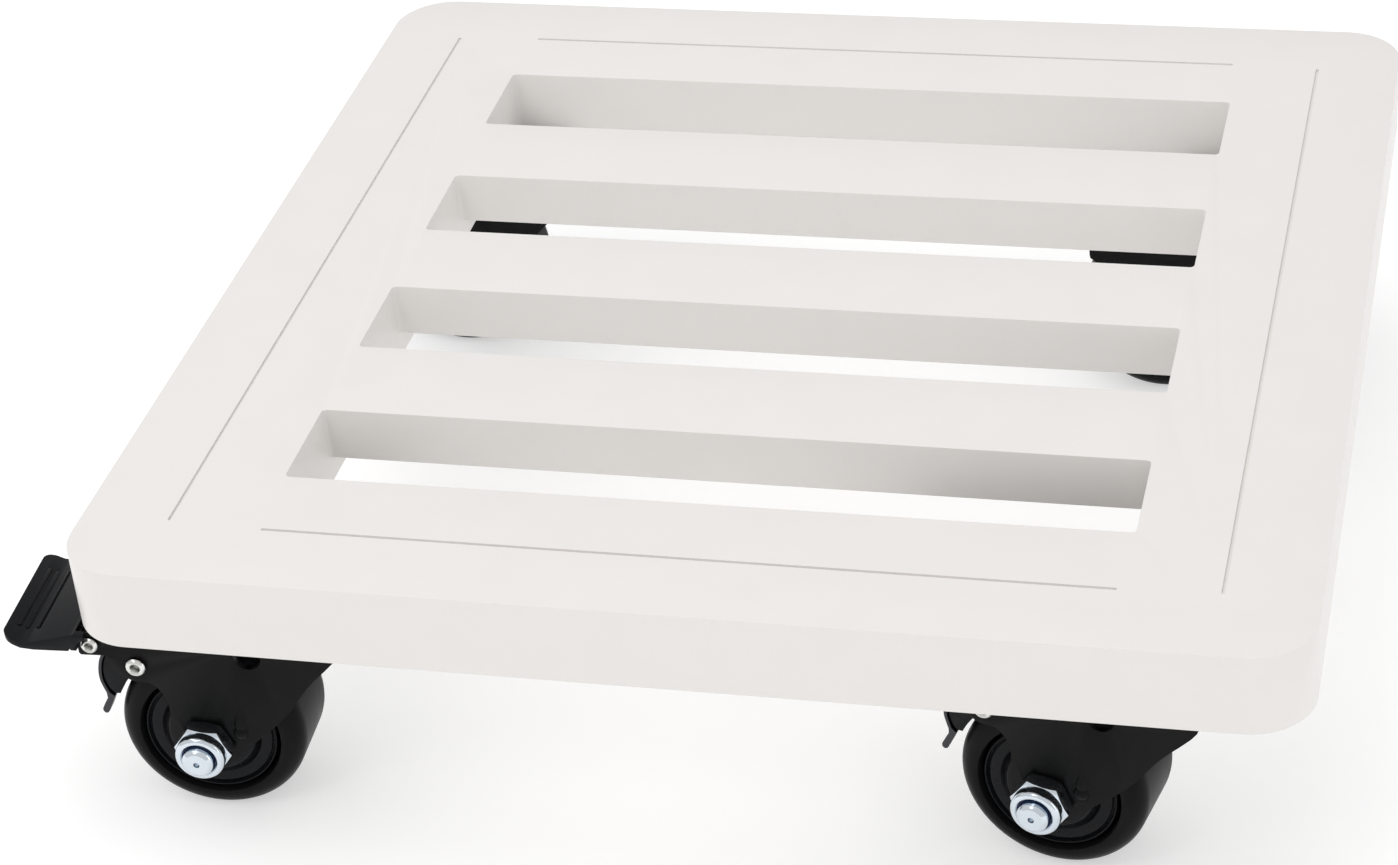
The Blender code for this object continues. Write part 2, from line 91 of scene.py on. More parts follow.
# Mounting plate, swivel bearing and fork
SCREW_PLACES = [(x * MM, y * MM) for x in (-23, 23) for y in (-15.5, 15.5)]
UPPER_CUP_RADIUS = 20.5 * MM
LOWER_CUP_RADIUS = 19.3 * MM
CUP_WALL = 0.8 * MM
CUP_ROUNDING = 1.4 * MM
BALL_COUNT = 16
BALL_RADIUS = 1.3 * MM
BALL_RING_RADIUS = 15.8 * MM
KINGPIN_RADIUS = 5 * MM
KINGPIN_HEAD_RADIUS = 10.5 * MM
SHEET = 2 * MM
FORK_OUTER = 15.5 * MM
FORK_BEND = 4 * MM
CROWN_RADIUS = 22 * MM
WINDOW_RADIUS = 3.5 * MM
LEG_TIP_RADIUS = 8.4 * MM

# Wheel, axle bolt and lock nut
WHEEL_RADIUS = AXLE.z - FLOOR
TREAD_HALF_WIDTH = 12.9 * MM
TREAD_SHOULDER = 5 * MM
AXLE_RADIUS = 4 * MM
HEX_ACROSS_FLATS = 13 * MM
HEX_CORNER_ANGLE = 53
BOLT_HEAD_HEIGHT = 5.3 * MM
BOLT_END = 25.3 * MM
NUT_HEX_HEIGHT = 4.4 * MM
NUT_FACE = 23.3 * MM
NUT_COLLAR_RADIUS = 6.4 * MM
NUT_ROLL = 1.2 * MM

# Brake
RIVET_END = 17 * MM
RIVET_HOLE_RADIUS = 1.8 * MM
PEDAL_RIVET_HEAD = 2.2 * MM
SHOE_RIVET_HEAD = 2.6 * MM
PEDAL_HALF_WIDTH = 18 * MM
PEDAL_INNER_HALF = 16.2 * MM
PEDAL_LIP = AXLE.x - 48 * MM
PEDAL_CORNER = 3 * MM
EAR_RADIUS = 2.8 * MM
LUG_RADIUS = 3.2 * MM
LUG_OUTER = 12.9 * MM
LUG_INNER = 6 * MM
SHOE_HALF_WIDTH = 11 * MM
SPRING_HALF_WIDTH = 11.4 * MM
SPRING_THICKNESS = 0.8 * MM


# ---------------------------------------------------------------- outlines

def arc(center, radius, start, end, steps):
    """Points on an arc, angles in degrees, both ends included."""
    angles = [radians(start + (end - start) * i / steps) for i in range(steps + 1)]
    return [(center[0] + radius * cos(a), center[1] + radius * sin(a)) for a in angles]


def side_arc(center, radius, start, end, steps):
    return arc((center.x, center.z), radius, start, end, steps)


def side(points):
    """Outline points in mm, measured from the axle, as (x, z) in the caster's frame."""
    return [(AXLE.x + x * MM, AXLE.z + z * MM) for x, z in points]


def rounded_rectangle(length, width, radius, steps, center=(0, 0)):
    x = length / 2 - radius
    y = width / 2 - radius
    corners = ((x, y, 0), (-x, y, 90), (-x, -y, 180), (x, -y, 270))
    return [
        (center[0] + px, center[1] + py)
        for cx, cy, start in corners
        for px, py in arc((cx, cy), radius, start, start + 90, steps)
    ]


def mirrored_profile(upper):
    """The turned profile whose lower half repeats the upper half upside down."""
    return [*upper, *[(r, -h) for r, h in reversed(upper)]]


def strip_outline(points, thickness):
    """The outline of a strip of even thickness. The points run along its left-hand side."""
    last = len(points) - 1
    right = []
    for i, (x, z) in enumerate(points):
        x0, z0 = points[max(i - 1, 0)]
        x1, z1 = points[min(i + 1, last)]
        length = hypot(x1 - x0, z1 - z0)
        right.append((x + (z1 - z0) / length * thickness, z - (x1 - x0) / length * thickness))
    return [*points, *reversed(right)]


def smoothed(points, rounds=2):
    """The open line with its inner corners cut, which turns a bent line into a smooth one."""
    for _ in range(rounds):
        cut = [points[0]]
        for (x0, z0), (x1, z1) in zip(points, points[1:]):
            cut.append((0.75 * x0 + 0.25 * x1, 0.75 * z0 + 0.25 * z1))
            cut.append((0.25 * x0 + 0.75 * x1, 0.25 * z0 + 0.75 * z1))
        cut.append(points[-1])
        points = cut
    return points


# ---------------------------------------------------------------- solids

def on_bench(data):
    """An object for a shape that is still being worked on."""
    obj = bpy.data.objects.new("bench", data)
    bpy.context.scene.collection.objects.link(obj)
    return obj


def finished_mesh(obj):
    """The object's shape with its modifiers applied and its seams closed. The object is removed."""
    bpy.context.view_layer.update()
    graph = bpy.context.evaluated_depsgraph_get()
    mesh = bpy.data.meshes.new_from_object(obj.evaluated_get(graph))
    mesh.transform(obj.matrix_world)
    bpy.data.objects.remove(obj)
    bm = bmesh.new()
    bm.from_mesh(mesh)
    bmesh.ops.remove_doubles(bm, verts=bm.verts, dist=0.001 * MM)
    bmesh.ops.recalc_face_normals(bm, faces=bm.faces)
    bm.to_mesh(mesh)
    bm.free()
    return mesh


def slab(outline, bottom, top):
    """A flat outline in XY, filled and extruded from bottom to top along Z."""
    curve = bpy.data.curves.new("outline", "CURVE")
    curve.dimensions = "2D"
    curve.fill_mode = "BOTH"
    curve.extrude = (top - bottom) / 2
    spline = curve.splines.new("POLY")
    spline.points.add(len(outline) - 1)
    for point, (x, y) in zip(spline.points, outline):
        point.co = (x, y, 0, 1)
    spline.use_cyclic_u = True
    obj = on_bench(curve)
    obj.location.z = (top + bottom) / 2
    return finished_mesh(obj)


def side_slab(outline, left, right):
    """An outline in XZ, filled and extruded from y = left to y = right."""
    mesh = slab(outline, -right, -left)
    mesh.transform(Matrix.Rotation(pi / 2, 4, "X"))
    return mesh


def front_slab(outline, back, front):
    """An outline in YZ, filled and extruded from x = back to x = front."""
    mesh = slab(outline, back, front)
    mesh.transform(Matrix(((0, 0, 1, 0), (1, 0, 0, 0), (0, 1, 0, 0), (0, 0, 0, 1))))
    return mesh


def cylinder(radius, start, end, segments, axis="Y", center=(0, 0, 0)):
    """A cylinder along Y or Z, from start to end as measured from its centre point."""
    return turned([(0, end), (radius, end), (radius, start), (0, start)], segments, axis, center)


def box(low, high):
    bm = bmesh.new()
    bmesh.ops.create_cube(bm, size=1)
    mesh = bpy.data.meshes.new("box")
    bm.to_mesh(mesh)
    bm.free()
    size = Vector(high) - Vector(low)
    mesh.transform(Matrix.Diagonal((*size, 1)))
    mesh.transform(Matrix.Translation((Vector(high) + Vector(low)) / 2))
    return mesh


def turned(profile, segments, axis="Z", center=(0, 0, 0)):
    """A profile of (radius, height) points, listed down its outer side, turned about Z or Y."""
    count = len(profile)
    mesh = bpy.data.meshes.new("profile")
    edges = [(i, i + 1) for i in range(count - 1)]
    if profile[0][0] > 0:
        edges.append((count - 1, 0))
    mesh.from_pydata([(r, 0, z) for r, z in profile], edges, [])
    obj = on_bench(mesh)
    screw = obj.modifiers.new("turn", "SCREW")
    screw.steps = segments
    screw.render_steps = segments
    screw.use_merge_vertices = True
    screw.merge_threshold = 0.01 * MM
    solid = finished_mesh(obj)
    if axis == "Y":
        solid.transform(Matrix.Rotation(-pi / 2, 4, "X"))
    solid.transform(Matrix.Translation(center))
    return solid


def combined(base, add=(), cut=(), keep=()):
    """The base with the add meshes joined, the cut meshes taken away, and only the part inside keep."""
    obj = on_bench(base)
    tools = []
    for operation, meshes in (("INTERSECT", keep), ("UNION", add), ("DIFFERENCE", cut)):
        for mesh in meshes:
            tool = on_bench(mesh)
            tools.append(tool)
            boolean = obj.modifiers.new(operation.lower(), "BOOLEAN")
            boolean.operation = operation
            boolean.solver = "EXACT"
            boolean.object = tool
    result = finished_mesh(obj)
    for tool in tools:
        bpy.data.objects.remove(tool)
    return result


def rounded(mesh, width, segments=2, angle=30):
    """The mesh with its sharp edges rounded."""
    obj = on_bench(mesh)
    bevel = obj.modifiers.new("round", "BEVEL")
    bevel.width = width
    bevel.segments = segments
    bevel.limit_method = "ANGLE"
    bevel.angle_limit = radians(angle)
    bevel.use_clamp_overlap = True
    return finished_mesh(obj)


# ---------------------------------------------------------------- materials

def new_material(name, color, roughness, metallic=0.0, grain=0.0, grain_size=1.0, mottle=0.0,
                 wear=0.0, ior=1.5):
    """A plain finish with moulded or cast grain, faint mottling and uneven gloss. Sizes are in mm."""
    material = bpy.data.materials.new(name)
    material.use_nodes = True
    nodes = material.node_tree.nodes
    link = material.node_tree.links.new
    shader = nodes["Principled BSDF"]
    shader.inputs["Metallic"].default_value = metallic
    shader.inputs["IOR"].default_value = ior
    place = nodes.new("ShaderNodeTexCoord")

    patches = nodes.new("ShaderNodeTexNoise")
    patches.inputs["Scale"].default_value = 60
    patches.inputs["Detail"].default_value = 6
    link(place.outputs["Object"], patches.inputs["Vector"])

    shade = nodes.new("ShaderNodeMapRange")
    shade.inputs["From Min"].default_value = 0.3
    shade.inputs["From Max"].default_value = 0.7
    shade.inputs["To Min"].default_value = 1 - mottle
    shade.inputs["To Max"].default_value = 1 + mottle
    link(patches.outputs["Fac"], shade.inputs["Value"])
    tint = nodes.new("ShaderNodeVectorMath")
    tint.operation = "SCALE"
    tint.inputs[0].default_value = color
    link(shade.outputs["Result"], tint.inputs["Scale"])
    link(tint.outputs["Vector"], shader.inputs["Base Color"])

    gloss = nodes.new("ShaderNodeMapRange")
    gloss.inputs["From Min"].default_value = 0.3
    gloss.inputs["From Max"].default_value = 0.7
    gloss.inputs["To Min"].default_value = roughness - wear
    gloss.inputs["To Max"].default_value = roughness + wear
    link(patches.outputs["Fac"], gloss.inputs["Value"])
    link(gloss.outputs["Result"], shader.inputs["Roughness"])

    if grain:
        texture = nodes.new("ShaderNodeTexNoise")
        texture.inputs["Scale"].default_value = 1 / (grain_size * MM)
        texture.inputs["Detail"].default_value = 3
        link(place.outputs["Object"], texture.inputs["Vector"])
        bump = nodes.new("ShaderNodeBump")
        bump.inputs["Strength"].default_value = grain
        bump.inputs["Distance"].default_value = 0.1 * grain_size * MM
        link(texture.outputs["Fac"], bump.inputs["Height"])
        link(bump.outputs["Normal"], shader.inputs["Normal"])
    return material


MATERIALS = {
    "deck_plastic": new_material("deck_plastic", (0.80, 0.775, 0.752), 0.35, grain=0.35,
                                 grain_size=0.7, mottle=0.008, wear=0.04),
    "black_plastic": new_material("black_plastic", (0.006, 0.0065, 0.0078), 0.26, grain=0.3,
                                  grain_size=0.5, mottle=0.1, wear=0.05, ior=1.22),
    "black_tread": new_material("black_tread", (0.006, 0.006, 0.0066), 0.36, grain=0.2,
                                grain_size=0.8, mottle=0.12, wear=0.07, ior=1.17),
    "black_steel": new_material("black_steel", (0.005, 0.005, 0.005), 0.36, grain=0.4,
                                grain_size=0.6, mottle=0.08, wear=0.05, ior=1.19),
    "zinc": new_material("zinc", (0.68, 0.74, 0.80), 0.16, metallic=1, grain=0.25, grain_size=1.2,
                         mottle=0.05, wear=0.07),
    "bright_steel": new_material("bright_steel", (0.78, 0.78, 0.76), 0.27, metallic=1, grain=0.3,
                                 grain_size=0.8, mottle=0.06, wear=0.08),
    "spring_steel": new_material("spring_steel", (0.06, 0.06, 0.065), 0.3, metallic=1, grain=0.3,
                                 grain_size=0.8, mottle=0.08, wear=0.08),
    "blue_nylon": new_material("blue_nylon", (0.01, 0.035, 0.12), 0.4, mottle=0.05, wear=0.04),
}


def show(name, mesh, material, body, nodes, matrix=Matrix.Identity(4)):
    """A finished piece that rides on a body and stands for the given CAD nodes."""
    mesh = mesh.copy()
    mesh.name = name
    mesh.materials.clear()
    mesh.materials.append(MATERIALS[material])
    for polygon in mesh.polygons:
        polygon.use_smooth = True
    mesh.set_sharp_from_angle(angle=radians(30))
    piece = bpy.data.objects.new(name, mesh)
    bpy.context.scene.collection.objects.link(piece)
    piece.matrix_world = matrix
    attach(piece, body)
    if nodes:
        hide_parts(*nodes)


# ---------------------------------------------------------------- deck

def deck_mesh():
    """A board with slots right through, a recess under its slats, and fine grooves round its top."""
    half = DECK_HIGH.x
    board = slab(rounded_rectangle(2 * half, 2 * half, CORNER_RADIUS, 16), DECK_LOW.z, 0)
    recess_outline = rounded_rectangle(SLOT_LENGTH, SLOT_LENGTH, SLOT_CORNER, 3)
    tools = [slab(recess_outline, -FAR, -SLAT_DEPTH)]
    for i in range(SLOT_COUNT):
        middle = (0, (i - (SLOT_COUNT - 1) / 2) * SLOT_PITCH)
        outline = rounded_rectangle(SLOT_LENGTH, SLOT_WIDTH, SLOT_CORNER, 3, middle)
        tools.append(slab(outline, -FAR, FAR))
    board = rounded(combined(board, cut=tools), EDGE_ROUNDING, 3, 40)
    grooves = []
    width, end = GROOVE_WIDTH, GROOVE_END_RADIUS
    for place in (GROOVE_INSET - half, half - GROOVE_INSET):
        side_line = rounded_rectangle(width, SIDE_GROOVE_LENGTH, end, 3, (place, 0))
        end_line = rounded_rectangle(END_GROOVE_LENGTH, width, end, 3, (0, place))
        grooves += [slab(side_line, -GROOVE_DEPTH, FAR), slab(end_line, -GROOVE_DEPTH, FAR)]
    return combined(board, cut=grooves)


# ---------------------------------------------------------------- caster pieces

def cheek_outline(braked):
    """One side of the fork: the back, the curve over the wheel, the leg tip, the front edge."""
    top = (CROWN_TOP - AXLE.z) / MM
    if braked:
        points = side_arc(PEDAL_AXIS, 3.4 * MM, 90, 180, 8)
        points += side_arc(AXLE + Vector((-28.5, 0, 26.8)) * MM, 0.8 * MM, 180, 270, 4)
        points += side([(-22.9, 26), (-22.6, 25.7), (-22.5, 24.5)])
    else:
        points = side([(-20.4, 33.5), (-21.6, 33.3), (-22.6, 32.9), (-23.2, 32.2), (-23.4, 31.3)])
        points += side([(-23.4, 25), (-23.2, 23.9)])
    points += side([(-21.9, 22.8), (-21, 21.3)])
    points += side_arc(SHOE_AXIS, 5 * MM, 222, 278, 5)
    points += side([(-12.2, 17.8), (-10.8, 16.8), (-9.6, 15.1), (-8.8, 13), (-8.4, 10.5)])
    points += side_arc(AXLE, LEG_TIP_RADIUS, 180, 312, 18)
    points += side([(9.6, -2.6), (12.5, 0), (17, 4), (20.3, 7.2), (22.8, 10), (25.4, 13.6)])
    points += side([(28.4, 17.8), (31.2, 21), (34, 23.8), (36.8, 26.8), (38.4, 29), (39, 31.2)])
    points += side([(39, top), (-8, top), (-9.5, top - 2.4)])
    return points


def fork_section():
    """The inverted U of the fork's sheet, as (y, z)."""
    bend = (FORK_OUTER - FORK_BEND, CROWN_TOP - FORK_BEND)
    foot = AXLE.z - 20 * MM
    outer = [(FORK_OUTER, foot), *arc(bend, FORK_BEND, 0, 90, 8)]
    inner = [*arc(bend, FORK_BEND - SHEET, 90, 0, 8), (FORK_OUTER - SHEET, foot)]
    left_outer = [(-y, z) for y, z in reversed(outer)]
    left_inner = [(-y, z) for y, z in reversed(inner)]
    return [*outer, *left_outer, *left_inner, *inner]


def bead_mesh(sign):
    """A pressed bead up the outside of one cheek, broad at its foot and fading out upwards."""
    taper = ((0, 25), (0.5, 24), (0.8, 18), (1.1, 12), (1.5, 9), (1.9, 6.8))
    profile = [(r * MM, h * MM) for r, h in taper]
    profile += arc((0, 4.2 * MM), 2.2 * MM, 40, -70, 10) + [(0, 2 * MM)]
    bead = turned(profile, 32)
    bead.transform(Matrix.Rotation(radians(5), 4, "Y"))
    bead.transform(Matrix.Translation(AXLE + Vector((8.9 * MM, sign * (FORK_OUTER - 1 * MM), -1 * MM))))
    return bead


def fork_mesh(braked):
    """The inverted U cut to the cheek's outline, with a round crown on top and its holes and beads."""
    bent = front_slab(fork_section(), -FAR, FAR)
    bent = combined(bent, keep=[side_slab(cheek_outline(braked), -FAR, FAR)])
    crown = cylinder(CROWN_RADIUS, CROWN_TOP - SHEET, CROWN_TOP, 72, "Z")
    holes = [
        cylinder(KINGPIN_RADIUS + GAP, -FAR, 0, 40, "Z"),
        cylinder(AXLE_RADIUS + GAP, -FAR, FAR, 32, "Y", AXLE),
        cylinder(WINDOW_RADIUS, -FAR, FAR, 32, "Y", WINDOW),
    ]
    if braked:
        holes.append(cylinder(RIVET_HOLE_RADIUS, -FAR, FAR, 20, "Y", PEDAL_AXIS))
        holes.append(cylinder(RIVET_HOLE_RADIUS, -FAR, FAR, 20, "Y", SHOE_AXIS))
    shell = rounded(combined(bent, add=[crown], cut=holes), 0.4 * MM, 2, 35)
    return combined(shell, add=[bead_mesh(-1), bead_mesh(1)])


def tread_mesh():
    """A solid tyre with round shoulders, around the hub."""
    half = TREAD_HALF_WIDTH
    shoulder = TREAD_SHOULDER
    inner_edge = [(17.9, 3.4), (18.2, 0.6), (18.5, 0.1)]
    upper = [(r * MM, half - depth * MM) for r, depth in inner_edge]
    upper += arc((WHEEL_RADIUS - shoulder, half - shoulder), shoulder, 90, 4, 10)
    upper += [(WHEEL_RADIUS, half - shoulder - 0.6 * MM)]
    return turned(mirrored_profile(upper), 96, "Y", AXLE)


def hub_mesh():
    """A disc with a raised boss, a shallow web, and two ring grooves near its rim."""
    face = [(6.3, 12.7), (6.6, 13.1), (10.4, 13.1), (10.7, 13), (11.7, 12), (11.8, 11.8)]
    face += [(11.85, 11.2), (12.1, 10.7), (12.5, 10.9), (13, 11.4), (15, 11.5), (15.7, 11.4)]
    face += [(16, 11), (16.3, 10.9), (16.5, 11.5), (16.7, 11.85), (17, 11.85), (17.2, 11.5)]
    face += [(17.3, 9.4), (17.6, 9)]
    return turned(mirrored_profile([(r * MM, y * MM) for r, y in face]), 80, "Y", AXLE)


def sleeve_mesh():
    """The bush between the bolt and the hub."""
    upper = [(AXLE_RADIUS + GAP, 13.2 * MM), (5.8 * MM, 13.2 * MM), (6 * MM, 13 * MM)]
    return turned(mirrored_profile(upper), 40, "Y", AXLE)


def hexagon_mesh(start, end, chamfer_start, chamfer_end):
    """A hexagon prism along Y whose corners are turned away at one or both ends."""
    corner = HEX_ACROSS_FLATS / 2 / cos(pi / 6)
    prism = cylinder(corner, start, end, 6)
    prism.transform(Matrix.Rotation(-radians(HEX_CORNER_ANGLE), 4, "Y"))
    prism.transform(Matrix.Translation(AXLE))
    lost = 0.55 * MM
    flat = HEX_ACROSS_FLATS / 2 - 0.1 * MM
    profile = [(0, end)]
    if chamfer_end:
        profile += [(flat, end), (corner + 0.4 * MM, end - lost - 0.2 * MM)]
    else:
        profile += [(corner + 1 * MM, end)]
    if chamfer_start:
        profile += [(corner + 0.4 * MM, start + lost + 0.2 * MM), (flat, start)]
    else:
        profile += [(corner + 1 * MM, start)]
    profile += [(0, start)]
    return rounded(combined(prism, keep=[turned(profile, 60, "Y", AXLE)]), 0.12 * MM, 2, 25)


def bolt_mesh():
    """A hexagon head on the +Y side, and a stem whose dimpled end shows in the lock nut."""
    seat = FORK_OUTER + GAP
    stem = [(0, seat + 1 * MM), (AXLE_RADIUS, seat + 1 * MM), (AXLE_RADIUS, 0.9 * MM - BOLT_END)]
    stem += [(AXLE_RADIUS - 0.3 * MM, 0.4 * MM - BOLT_END), (AXLE_RADIUS - 0.9 * MM, -BOLT_END)]
    stem += [(0.8 * MM, -BOLT_END), (0.6 * MM, 1.6 * MM - BOLT_END), (0, 2 * MM - BOLT_END)]
    head = hexagon_mesh(seat, seat + BOLT_HEAD_HEIGHT, False, True)
    return combined(head, add=[turned(stem, 40, "Y", AXLE)])


def nut_mesh():
    """A hexagon with a rolled collar over the nylon ring."""
    seat = FORK_OUTER + GAP
    body = hexagon_mesh(-seat - NUT_HEX_HEIGHT, -seat, True, True)
    collar = [(AXLE_RADIUS + GAP, -seat - 1 * MM), (NUT_COLLAR_RADIUS, -seat - 1 * MM)]
    bend = (NUT_COLLAR_RADIUS - NUT_ROLL, NUT_FACE - NUT_ROLL)
    collar += [(r, -h) for r, h in arc(bend, NUT_ROLL, 0, 90, 8)]
    lip = [(4.85, 0), (4.55, 0.3), (4.55, 0.7), (5.2, 0.9), (5.2, 2.2), (4.3, 2.2)]
    collar += [(r * MM, h * MM - NUT_FACE) for r, h in lip]
    bore = cylinder(AXLE_RADIUS + 0.15 * MM, -FAR, FAR, 40, "Y", AXLE)
    return combined(combined(body, cut=[bore]), add=[turned(collar, 64, "Y", AXLE)])


def nylon_mesh():
    low = 0.75 * MM - NUT_FACE
    ring = [(4.12, 1.2), (5.1, 1.2), (5.1, 0.3), (4.5, 0.2), (4.4, 0), (4.2, 0), (4.12, 0.15)]
    return turned([(r * MM, low + h * MM) for r, h in ring], 48, "Y", AXLE)


def rivet_mesh(head, center):
    """A tubular rivet: rolled heads with a deep hole in each."""
    seat = FORK_OUTER + GAP
    hole = 0.42 * head
    upper = [(0, seat - 2 * MM), (hole * 0.85, seat - 2 * MM), (hole, seat + 0.3 * MM)]
    upper += [(hole + 0.25 * MM, RIVET_END - 0.25 * MM), (hole + 0.6 * MM, RIVET_END)]
    upper += [(head - 0.7 * MM, RIVET_END - 0.05 * MM), (head - 0.2 * MM, RIVET_END - 0.4 * MM)]
    upper += [(head, RIVET_END - 0.8 * MM), (head - 0.1 * MM, seat), (1.5 * MM, seat)]
    return turned(mirrored_profile(upper), 36, "Y", center)


def pedal_corner_tool(sign):
    """A solid that rounds one outer corner of the pedal, as seen from above."""
    middle = (PEDAL_LIP + PEDAL_CORNER, sign * (PEDAL_HALF_WIDTH - PEDAL_CORNER))
    edge = arc(middle, PEDAL_CORNER, 180, 180 - sign * 90, 8)
    beyond = PEDAL_LIP - 5 * MM
    outside = sign * (PEDAL_HALF_WIDTH + 5 * MM)
    outline = [*edge, (edge[-1][0], outside), (beyond, outside), (beyond, edge[0][1])]
    return slab(outline, -FAR, 0)


def pedal_rib_meshes():
    """Plain ribs across the treadle, parallel to its outer edge."""
    ribs = []
    half = 12 * MM
    for x, z, tilt in ((-45.4, 31.6, 25), (-43.4, 30.7, 25), (-40.4, 31, -13.5)):
        rib = rounded(box((-0.6 * MM, -half, -1 * MM), (0.6 * MM, half, 0.55 * MM)), 0.35 * MM)
        rib.transform(Matrix.Rotation(radians(tilt), 4, "Y"))
        rib.transform(Matrix.Translation(AXLE + Vector((x, 0, z)) * MM))
        ribs.append(rib)
    return ribs


def pedal_mesh():
    """A hollow treadle with a turned-up lip, a neck with two lugs, and ears outside the fork."""
    top = side([(-48, 33), (-45.6, 31.8), (-42.6, 30.5), (-40, 31.2), (-34, 32.7), (-28.7, 34)])
    treadle = smoothed(top, 1) + side([(-28.7, 30.6), (-29.7, 30.4), (-30.9, 28.8), (-40, 28.8)])
    treadle += side([(-43.5, 29.2), (-47.7, 31.3)])
    hollow = side([(-39.6, 29.2), (-27.5, 32.5), (-27.5, 20), (-39.6, 20)])
    neck = side([(-32.4, 31.8), (-31.8, 30.6), (-24.3, 30.4), (-24.3, 32.6), (-31.9, 32.9)])
    ear = side([(-30.4, 33), (-28.8, 34), (-26.2, 33.8)])
    ear += side_arc(PEDAL_AXIS, EAR_RADIUS, 95, 190, 10) + side([(-30.4, 29)])
    lug = side_arc(PEDAL_AXIS, LUG_RADIUS, -30, 245, 18) + side([(-25.3, 24.6), (-24, 25.3)])
    inner = PEDAL_INNER_HALF
    body = combined(
        side_slab(treadle, -PEDAL_HALF_WIDTH, PEDAL_HALF_WIDTH),
        cut=[side_slab(hollow, -inner, inner), pedal_corner_tool(-1), pedal_corner_tool(1)],
    )
    body = rounded(body, 0.6 * MM, 3, 28)
    ears = []
    for left, right in ((-PEDAL_HALF_WIDTH, -inner), (inner, PEDAL_HALF_WIDTH)):
        ears.append(rounded(side_slab(ear, left, right), 0.25 * MM, 2, 40))
    lugs = combined(
        side_slab(neck, -LUG_OUTER, LUG_OUTER),
        add=[side_slab(lug, -LUG_OUTER, -LUG_INNER), side_slab(lug, LUG_INNER, LUG_OUTER)],
        cut=[cylinder(RIVET_HOLE_RADIUS, -FAR, FAR, 20, "Y", PEDAL_AXIS)],
    )
    return combined(body, add=[rounded(lugs, 0.25 * MM, 2, 40), *ears, *pedal_rib_meshes()])


def shoe_mesh():
    """A block behind the tread, hung on the shoe rivet, with its face concentric to the wheel."""
    face = side_arc(AXLE, WHEEL_RADIUS + 1 * MM, 155, 129, 12)
    lug = side_arc(SHOE_AXIS, 2.7 * MM, -75, 100, 14)
    back = side([(-19, 25.5), (-22.8, 24.1), (-24.8, 22.2), (-25.9, 18.6), (-26.2, 15.2), (-25.2, 12)])
    back += side([(-24.1, 10.6)])
    block = side_slab([*face, *lug, *smoothed(back, 2)], -SHOE_HALF_WIDTH, SHOE_HALF_WIDTH)
    block = combined(block, cut=[cylinder(RIVET_HOLE_RADIUS, -FAR, FAR, 20, "Y", SHOE_AXIS)])
    return rounded(block, 0.4 * MM, 2, 40)


def spring_mesh():
    """A leaf up the back of the shoe, with two stout tongues that hang below it."""
    route = side([(-26.2, 10.8), (-26.7, 12.4), (-27.4, 15.2), (-27.1, 18.9)])
    route += side([(-25.9, 22.8), (-23.4, 25.2)])
    tongue = side([(-24.2, 9.8), (-25.4, 7.1), (-26.4, 5), (-26.8, 4.5), (-27.2, 4.3), (-27.7, 4.4)])
    tongue += side([(-28.1, 4.9), (-28.1, 5.7), (-27.3, 7.3), (-26.2, 9.2)])
    outline = strip_outline(smoothed(route, 2), SPRING_THICKNESS) + tongue
    window = box((-FAR, -8 * MM, -2 * FAR), (FAR, 8 * MM, AXLE.z + 13.5 * MM))
    leaf = combined(side_slab(outline, -SPRING_HALF_WIDTH, SPRING_HALF_WIDTH), cut=[window])
    return rounded(leaf, 0.3 * MM, 3, 40)


def cup_mesh(low, high, radius):
    """A pressed cup with a rolled rim, open on its lower side."""
    hole = KINGPIN_RADIUS + 0.4 * MM
    bend = (radius - CUP_ROUNDING, high - CUP_ROUNDING)
    inner = radius - CUP_WALL
    profile = [(hole, high), (bend[0], high), *arc(bend, CUP_ROUNDING, 90, 0, 6)[1:]]
    profile += [(radius, low), (inner, low), (inner, bend[1])]
    profile += [(inner - 0.8 * MM, high - CUP_WALL), (hole, high - CUP_WALL)]
    return turned(profile, 72)


def balls_mesh():
    """The balls of the swivel bearing, as one mesh."""
    middle = (UPPER_RACE_LOW.z + LOWER_RACE_HIGH.z) / 2
    bm = bmesh.new()
    for i in range(BALL_COUNT):
        angle = 2 * pi * i / BALL_COUNT
        x, y = BALL_RING_RADIUS * cos(angle), BALL_RING_RADIUS * sin(angle)
        place = Matrix.Translation((x, y, middle))
        bmesh.ops.create_uvsphere(bm, u_segments=16, v_segments=10, radius=BALL_RADIUS, matrix=place)
    mesh = bpy.data.meshes.new("balls")
    bm.to_mesh(mesh)
    bm.free()
    return mesh


def kingpin_mesh():
    """The pin that the fork swivels on, with a domed head under the crown."""
    head = CROWN_TOP - SHEET - 0.5 * MM
    low, high = KINGPIN_LOW.z, KINGPIN_HIGH.z
    radius, head_radius = KINGPIN_RADIUS, KINGPIN_HEAD_RADIUS
    profile = [(0, high), (radius - 0.4 * MM, high), (radius, high - 0.4 * MM), (radius, head)]
    profile += [(head_radius - 0.5 * MM, head), (head_radius, head - 0.6 * MM)]
    profile += [(head_radius - 0.2 * MM, head - 1.6 * MM), (8.7 * MM, low + 0.3 * MM)]
    profile += [(7 * MM, low), (0, low)]
    return turned(profile, 48)


def screw_mesh():
    """A pan-head screw with a cross recess, its head under the mounting plate."""
    seat = PLATE_LOW - 0.1 * MM
    corners = [(0, 2.2), (2, 2.2), (2, 0), (3.9, 0), (4, -0.9), (3.6, -1.7), (2.4, -2.2), (0, -2.35)]
    profile = [(r * MM, seat + h * MM) for r, h in corners]
    arms = []
    for x, y in ((2.1, 0.45), (0.45, 2.1)):
        arms.append(box((-x * MM, -y * MM, seat - 5 * MM), (x * MM, y * MM, seat - 1.1 * MM)))
    return combined(turned(profile, 36), cut=arms)


# ---------------------------------------------------------------- assembly

show("deck_board", deck_mesh(), "deck_plastic", "chassis", ["deck"])

